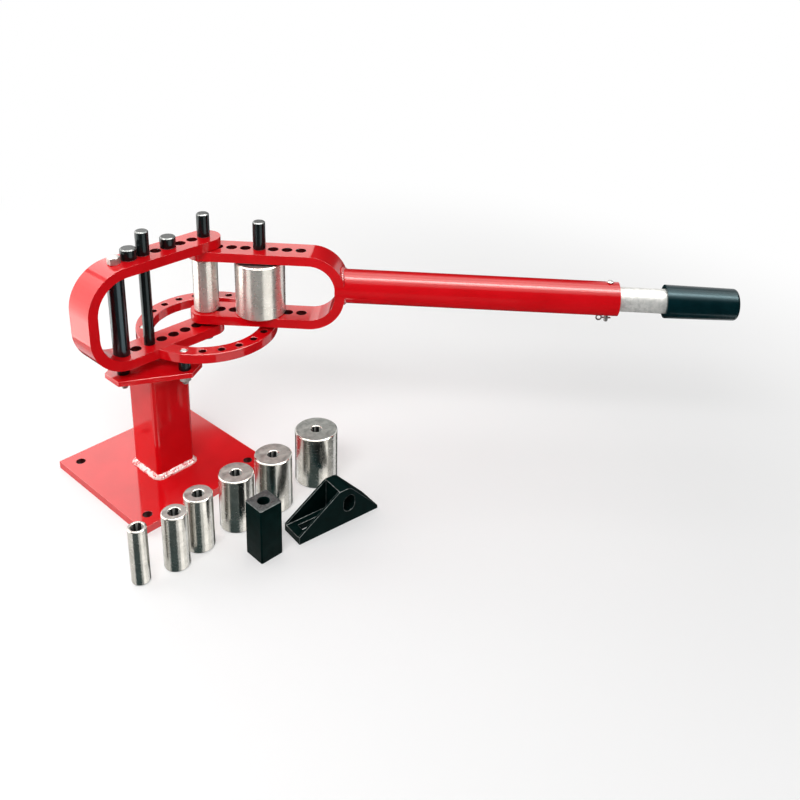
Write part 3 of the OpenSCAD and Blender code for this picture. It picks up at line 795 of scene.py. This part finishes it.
def make_square_block():
    """Block with a round bore: its rings of points run from the bore over the top, down and back inside."""
    low, high = (Vector(corner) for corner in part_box("square_block"))
    centre = (low + high) / 2
    bore = [(BLOCK_BORE_BEVEL, BLOCK_BORE_R), (0, BLOCK_BORE_R + BLOCK_BORE_BEVEL)]
    soft = [(BLOCK_RIM * (1 - math.sin(turn)), BLOCK_RIM * (1 - math.cos(turn)))
            for turn in (0, math.pi / 6, math.pi / 3, math.pi / 2)]
    rings = []

    def ring(z, reach_at):
        """One level ring of points, with its reach as a function of the angle."""
        points = []
        for i in range(BLOCK_SEGMENTS):
            angle = math.tau * (i + 0.5) / BLOCK_SEGMENTS
            reach = reach_at(angle)
            turned = angle + BLOCK_TURN
            outward = Vector((math.cos(turned), math.sin(turned), 0))
            points.append(Vector((centre.x, centre.y, z)) + reach * outward)
        return points

    for drop, radius in bore:
        rings.append(ring(high.z - drop, lambda a, r=radius: r))
    for drop, inset in reversed(soft):
        rings.append(ring(high.z - drop, lambda a, d=inset: square_reach(a, BLOCK_HALF - d, BLOCK_CORNER)))
    for drop, inset in soft:
        rings.append(ring(low.z + drop, lambda a, d=inset: square_reach(a, BLOCK_HALF - d, BLOCK_CORNER)))
    for drop, radius in reversed(bore):
        rings.append(ring(low.z + drop, lambda a, r=radius: r))
    rings.append(rings[0])
    piece = skin("square_block_body", "square_block", rings, IRON, capped=False, smooth_angle=35)
    piece.data.materials.append(IRON_EDGE_AND_HIGHLIGHT)
    highlight_rim_place = len(piece.data.materials) - 1
    piece.data.materials.append(BLACK_FACE)
    top_place = len(piece.data.materials) - 1
    # The top face gets the black face material; upward-facing rim faces on the top half get the lighter edge
    # colour, a painted highlight.
    for polygon in piece.data.polygons:
        reach = max(abs(polygon.center.x), abs(polygon.center.y))
        if polygon.center.z < 0:
            continue
        if polygon.normal.z > BLOCK_TOP_LEAN:
            polygon.material_index = top_place
        elif polygon.normal.z > BLOCK_HIGHLIGHT_LEAN and reach > BLOCK_RIM_R:
            polygon.material_index = highlight_rim_place


LOOSE_DIES = ("die_a", "die_b", "die_c", "die_d", "die_e", "die_f")


def dress():
    """Gives every node its look. The widths of the rounded edges are in millimetres."""
    # The walls of the holes in these red pieces get painted shade, nearly black.
    for node, edge in (("base_plate", 1.3), ("fixed_frame", 1.1), ("index_ring", 1.0), ("swing_arm", 1.1)):
        rounded(node, RED, edge * MM, bore_material=HOLE_PAINTED_SHADE, edge_material=EDGE_RED, chamfers=False)
    for node, edge in (("post", 0.4), ("top_plate", 0.9), ("handle_tube", 0.9)):
        rounded(node, RED, edge * MM, edge_material=EDGE_RED, chamfers=False)
    # Die bores get streaks of painted glint and painted shade on their walls.
    for node in LOOSE_DIES:
        rounded(node, STEEL, 0.3 * MM, face_material=STEEL_FACE, bore_material=BORE_PAINTED_GLINTS)
    for node in ("centre_die", "follower_die"):
        rounded(node, UPPER_STEEL, 0.3 * MM, face_material=STEEL_FACE, bore_material=BORE_PAINTED_GLINTS)
    for node in ("pivot_pin", "stop_pin", "cap_a", "cap_b", "ring_pin", "follower_pin"):
        rounded(node, BLACK, 0.35 * MM, face_material=BLACK_FACE, edge_material=BLACK_EDGE)
    rounded("spacer_sleeve", SLEEVE, 0.4 * MM)
    for node in ("thrust_washer", "plate_spacers"):
        rounded(node, BLACK, 0.4 * MM)
    for node in ("plate_washers", "plate_nuts", "clevis_pin", "split_pin"):
        rounded(node, ZINC, 0.2 * MM)
    rounded("extension_tube", GALVANISED, 0.5 * MM)
    # Its rounded edges get the lighter edge colour: rubbed paint and a painted highlight.
    rounded("angle_block", IRON, 0.7 * MM, edge_material=IRON_EDGE_AND_HIGHLIGHT, chamfers=False, crest=5 * MM)
    make_studs()
    make_long_bolt()
    make_foot_weld()
    make_handle_weld()
    make_grip()
    make_square_block()


dress()

# Camera, as fitted to the photograph

IMAGE_SIZE = 800
SENSOR = 36.0
FOCAL_PIXELS = 909.665
PRINCIPAL_X = 428.481
PRINCIPAL_Y = 230.0
CAMERA_AZIMUTH = math.radians(50.162)
CAMERA_ELEVATION = math.radians(21.401)
CAMERA_ROLL = math.radians(2.704)
AIM_POINT = Vector((0, 0, 0.3))
AIM_DEPTH = 1.328195
AIM_X = 152.742
AIM_Y = 295.346


def make_camera():
    """Camera that puts the aim point at its pixel and depth."""
    look = Vector((math.cos(CAMERA_ELEVATION) * math.sin(CAMERA_AZIMUTH),
                   math.cos(CAMERA_ELEVATION) * math.cos(CAMERA_AZIMUTH), -math.sin(CAMERA_ELEVATION)))
    flat_right = Vector((math.cos(CAMERA_AZIMUTH), -math.sin(CAMERA_AZIMUTH), 0))
    flat_up = flat_right.cross(look)
    right = math.cos(CAMERA_ROLL) * flat_right + math.sin(CAMERA_ROLL) * flat_up
    up = -math.sin(CAMERA_ROLL) * flat_right + math.cos(CAMERA_ROLL) * flat_up
    across = (AIM_X - PRINCIPAL_X) * AIM_DEPTH / FOCAL_PIXELS
    above = -(AIM_Y - PRINCIPAL_Y) * AIM_DEPTH / FOCAL_PIXELS
    data = bpy.data.cameras.new("camera")
    data.sensor_width = SENSOR
    data.lens = FOCAL_PIXELS / IMAGE_SIZE * SENSOR
    data.shift_x = (IMAGE_SIZE / 2 - PRINCIPAL_X) / IMAGE_SIZE
    data.shift_y = (PRINCIPAL_Y - IMAGE_SIZE / 2) / IMAGE_SIZE
    camera = bpy.data.objects.new("camera", data)
    bpy.context.collection.objects.link(camera)
    camera.rotation_mode = "QUATERNION"
    camera.rotation_quaternion = Matrix((right, up, -look)).transposed().to_quaternion()
    camera.location = AIM_POINT - across * right - above * up - AIM_DEPTH * look
    bpy.context.scene.camera = camera
    return look, flat_right


LOOK, RIGHT = make_camera()
FRONT = -Vector((LOOK.x, LOOK.y, 0)).normalized()

# Stage and light

FLOOR_SIZE = 30.0
FLOOR_COLOR = (0.9, 0.9, 0.9)
FLOOR_CENTRE = Vector((0.15, -0.15, 0))
GLOW_START = 0.55
GLOW_END = 1.5
GLOW_NEAR = 0.3


def background_rays(nodes, links):
    """1 for rays that should see the plain background: camera, glossy and transmission rays."""
    path = nodes.new("ShaderNodeLightPath")
    total = path.outputs["Is Camera Ray"]
    for name in ("Is Glossy Ray", "Is Transmission Ray"):
        add = nodes.new("ShaderNodeMath")
        add.operation = "MAXIMUM"
        links.new(total, add.inputs[0])
        links.new(path.outputs[name], add.inputs[1])
        total = add.outputs[0]
    return total


def make_floor():
    """Plain white floor: lit and shadowed near the object, plain white further off."""
    bpy.ops.mesh.primitive_plane_add(size=FLOOR_SIZE)
    floor = bpy.context.object
    floor.name = "floor"
    material = bpy.data.materials.new("floor")
    material.use_nodes = True
    nodes, links = material.node_tree.nodes, material.node_tree.links
    nodes.clear()
    diffuse = nodes.new("ShaderNodeBsdfDiffuse")
    diffuse.inputs["Color"].default_value = (*FLOOR_COLOR, 1)
    glow = nodes.new("ShaderNodeEmission")
    distance = nodes.new("ShaderNodeVectorMath")
    distance.operation = "DISTANCE"
    distance.inputs[1].default_value = FLOOR_CENTRE
    links.new(nodes.new("ShaderNodeTexCoord").outputs["Object"], distance.inputs[0])
    fade = nodes.new("ShaderNodeMapRange")
    fade.interpolation_type = "SMOOTHSTEP"
    fade.inputs["From Min"].default_value = GLOW_START
    fade.inputs["From Max"].default_value = GLOW_END
    fade.inputs["To Min"].default_value = GLOW_NEAR
    links.new(distance.outputs["Value"], fade.inputs["Value"])
    share = nodes.new("ShaderNodeMath")
    share.operation = "MULTIPLY"
    links.new(background_rays(nodes, links), share.inputs[0])
    links.new(fade.outputs["Result"], share.inputs[1])
    mix = nodes.new("ShaderNodeMixShader")
    links.new(share.outputs[0], mix.inputs["Fac"])
    links.new(diffuse.outputs[0], mix.inputs[1])
    links.new(glow.outputs[0], mix.inputs[2])
    links.new(mix.outputs[0], nodes.new("ShaderNodeOutputMaterial").inputs["Surface"])
    floor.data.materials.append(material)
    floor.visible_glossy = False


WORLD_LIGHT = 0.38


def make_world():
    """White behind the object, dimmer as a light."""
    world = bpy.data.worlds.new("studio")
    bpy.context.scene.world = world
    world.use_nodes = True
    nodes, links = world.node_tree.nodes, world.node_tree.links
    background = nodes["Background"]
    background.inputs["Color"].default_value = (1, 1, 1, 1)
    strength = nodes.new("ShaderNodeMapRange")
    strength.inputs["To Min"].default_value = WORLD_LIGHT
    strength.inputs["To Max"].default_value = 1.0
    links.new(background_rays(nodes, links), strength.inputs["Value"])
    links.new(strength.outputs["Result"], background.inputs["Strength"])


def area_light(name, place, width, height, radiance, color, reflected):
    """Soft lamp that looks at the object, with its power worked out from how bright its face is."""
    data = bpy.data.lights.new(name, "AREA")
    data.shape = "RECTANGLE"
    data.size = width
    data.size_y = height
    data.energy = radiance * math.pi * width * height
    data.color = color
    lamp = bpy.data.objects.new(name, data)
    bpy.context.collection.objects.link(lamp)
    lamp.location = place
    lamp.rotation_mode = "QUATERNION"
    lamp.rotation_quaternion = (STUDIO_AIM - place).to_track_quat("-Z", "Y")
    lamp.visible_glossy = reflected


STUDIO_AIM = Vector((0.05, -0.08, 0.2))
WHITE = (1, 1, 1)
WARM = (1, 0.97, 0.93)
# Each lamp: name, bearing in degrees, distance, rise, width, height, radiance, colour, seen in reflections
LAMPS = (
    ("left", -92, 1.7, 0.75, 1.2, 1.0, 4.2, WHITE, False),
    ("back", -140, 1.8, 1.05, 1.2, 1.0, 2.6, WARM, True),
    ("top", 180, 0.4, 2.2, 1.5, 1.5, 1.1, WHITE, False),
    ("front", -8, 1.2, 1.5, 1.2, 0.6, 8.5, WHITE, False),
)


def bearing(turn):
    """Level direction from the object: 0 degrees is towards the camera, 90 degrees to the camera's right."""
    angle = math.radians(turn)
    return math.cos(angle) * FRONT + math.sin(angle) * RIGHT


def make_lamps():
    """The soft lamps round the object."""
    for name, turn, distance, rise, width, height, radiance, color, reflected in LAMPS:
        place = STUDIO_AIM + distance * bearing(turn) + rise * UP
        area_light(name, place, width, height, radiance, color, reflected)


# Studio boards, which only reflections see

BLACK_BOARD = (0.012, 0.018, 0.018)
DARK_BOARD = (0.005, 0.05, 0.055)
GREY_BOARD = (0.14, 0.145, 0.135)
PALE_BOARD = (0.8, 0.78, 0.74)
WHITE_BOARD = (1.6, 1.56, 1.5)
ARM_BOARD = (2.2, 2.1, 2.0)

# Heights where one board ends and the next begins. The boards reach far below the floor, which
# reflections don't see.
BOARD_FOOT = -3.4
LOW_SPLIT = -1.8
PALE_FOOT = -1.6
BEND_FOOT = -1.15
HORIZON = -0.2
ARM_FOOT = 0.75
BACK_FOOT = 1.17
BACK_TOP = 1.9
UPPER_TOP = 2.5

FAR_RADIUS = 2.5
NEAR_RADIUS = 1.9
BOTTOM_RADIUS = 2.6
BOTTOM_HOLE = 1 * MM
BOARD_STEP = math.radians(10)

# Each board: name, first and last bearing in degrees, foot, top, radius, colour
FRONT_BOARDS = (
    ("low_left_board", -115, -46, BOARD_FOOT, PALE_FOOT, FAR_RADIUS, PALE_BOARD),
    ("low_board", -46, 46, BOARD_FOOT, LOW_SPLIT, FAR_RADIUS, DARK_BOARD),
    ("low_right_board", 46, 112, BOARD_FOOT, LOW_SPLIT, FAR_RADIUS, WHITE_BOARD),
    ("pale_board", -115, -60, PALE_FOOT, BEND_FOOT, FAR_RADIUS, PALE_BOARD),
    ("left_board", -60, -34, PALE_FOOT, HORIZON, FAR_RADIUS, WHITE_BOARD),
    ("middle_board", -34, 25, LOW_SPLIT, HORIZON, FAR_RADIUS, GREY_BOARD),
    ("bright_board", 25, 73, LOW_SPLIT, HORIZON, FAR_RADIUS, WHITE_BOARD),
    ("side_board", 73, 112, LOW_SPLIT, HORIZON, FAR_RADIUS, BLACK_BOARD),
    ("upper_board", -60, 112, HORIZON, UPPER_TOP, FAR_RADIUS, BLACK_BOARD),
)
BACK_BOARDS = (
    ("back_board", 152, 203, BACK_FOOT, BACK_TOP, NEAR_RADIUS, BLACK_BOARD),
    ("far_back_board", 152, 180, HORIZON, BACK_FOOT, NEAR_RADIUS, BLACK_BOARD),
    ("arm_board", 180, 203, ARM_FOOT, BACK_FOOT, NEAR_RADIUS, ARM_BOARD),
    ("under_board", 140, 225, BOARD_FOOT, HORIZON, FAR_RADIUS, BLACK_BOARD),
)


def arc(radius, start, end, height):
    """Points on a level arc round the object between two bearings."""
    steps = max(2, int(math.radians(end - start) / BOARD_STEP) + 1)
    return [Vector((STUDIO_AIM.x, STUDIO_AIM.y, height)) + radius * bearing(start + (end - start) * k / steps)
            for k in range(steps + 1)]


def make_board(name, row, other, color):
    """Glowing board of one even colour, spanned between two rows of points."""
    mesh = bpy.data.meshes.new(name)
    shape = bmesh.new()
    low = [shape.verts.new(point) for point in row]
    high = [shape.verts.new(point) for point in other]
    for i in range(len(low) - 1):
        shape.faces.new((low[i], low[i + 1], high[i + 1], high[i]))
    shape.to_mesh(mesh)
    shape.free()
    material = bpy.data.materials.new(name)
    material.use_nodes = True
    nodes, links = material.node_tree.nodes, material.node_tree.links
    nodes.clear()
    glow = nodes.new("ShaderNodeEmission")
    glow.inputs["Color"].default_value = (*color, 1)
    links.new(glow.outputs[0], nodes.new("ShaderNodeOutputMaterial").inputs["Surface"])
    mesh.materials.append(material)
    board = bpy.data.objects.new(name, mesh)
    bpy.context.collection.objects.link(board)
    board.visible_camera = False
    board.visible_diffuse = False
    board.visible_shadow = False
    board.visible_transmission = False


def standing_board(name, start, end, foot, top, radius, color):
    """Curved board between two bearings and two heights."""
    make_board(name, arc(radius, start, end, foot), arc(radius, start, end, top), color)


def tinted(glow, tint):
    """Colour of a board that glows that much."""
    return tuple(glow * share for share in tint)


BEND_START = -114
BEND_END = -60
BEND_STEPS = 12
BEND_RISE = 0.34
BEND_TINT = (1, 0.95, 0.9)
DIMMEST_STEP = 5
DIMMEST_GLOW = 2.4
GROWTH_BELOW = 0.045
GROWTH_ABOVE = 0.09


def make_bend_boards():
    """Stack of boards that the frame's bend reflects: dimmest in the middle, brighter to both ends."""
    for step in range(BEND_STEPS):
        foot = BEND_FOOT + step * BEND_RISE
        growth = GROWTH_BELOW if step < DIMMEST_STEP else GROWTH_ABOVE
        glow = DIMMEST_GLOW + growth * (step - DIMMEST_STEP) ** 2
        standing_board("bend_board_%d" % step, BEND_START, BEND_END, foot, foot + BEND_RISE, FAR_RADIUS,
                       tinted(glow, BEND_TINT))


HANDLE_AIM = PIVOT + HANDLE_Z * UP
OVERHEAD_RISE = 1.5
OVERHEAD_LEFT = -0.9
OVERHEAD_RIGHT = 2.2
OVERHEAD_TINT = (1, 0.96, 0.92)
# Each board over the handle: its near and its far edge, in metres towards the camera, and its glow
OVERHEAD_BOARDS = ((1.26, 0.73, 2), (0.73, 0.43, 8), (0.43, 0.1, 18), (0.1, -0.37, 6), (-0.37, -1.05, 3.5))
GRIP_BOARD_FORWARD = 0.2
GRIP_BOARD_LEFT = 0.5
GRIP_BOARD_RIGHT = 1.15
GRIP_BOARD_HEIGHTS = (5 * MM, 0.29)


def across_handle(forward, left, right, rise):
    """Two points level with each other, placed from where the handle's axis meets the pivot's."""
    return [HANDLE_AIM + forward * FRONT + side * RIGHT + rise * UP for side in (left, right)]


def make_handle_boards():
    """Boards over the handle, brightest where its highlight runs, and a dark one below the grip."""
    for number, (near, far, glow) in enumerate(OVERHEAD_BOARDS):
        row, other = (across_handle(forward, OVERHEAD_LEFT, OVERHEAD_RIGHT, OVERHEAD_RISE)
                      for forward in (near, far))
        make_board("overhead_%d" % number, row, other, tinted(glow, OVERHEAD_TINT))
    row, other = (across_handle(GRIP_BOARD_FORWARD, GRIP_BOARD_LEFT, GRIP_BOARD_RIGHT, height - HANDLE_Z)
                  for height in GRIP_BOARD_HEIGHTS)
    make_board("grip_board", row, other, BLACK_BOARD)


make_floor()
make_world()
make_lamps()
for board in FRONT_BOARDS:
    standing_board(*board)
make_bend_boards()
for board in BACK_BOARDS:
    standing_board(*board)
make_board("bottom_board", arc(BOTTOM_HOLE, -180, 180, BOARD_FOOT), arc(BOTTOM_RADIUS, -180, 180, BOARD_FOOT),
           BLACK_BOARD)
make_handle_boards()

scene = bpy.context.scene
scene.view_settings.view_transform = "Standard"
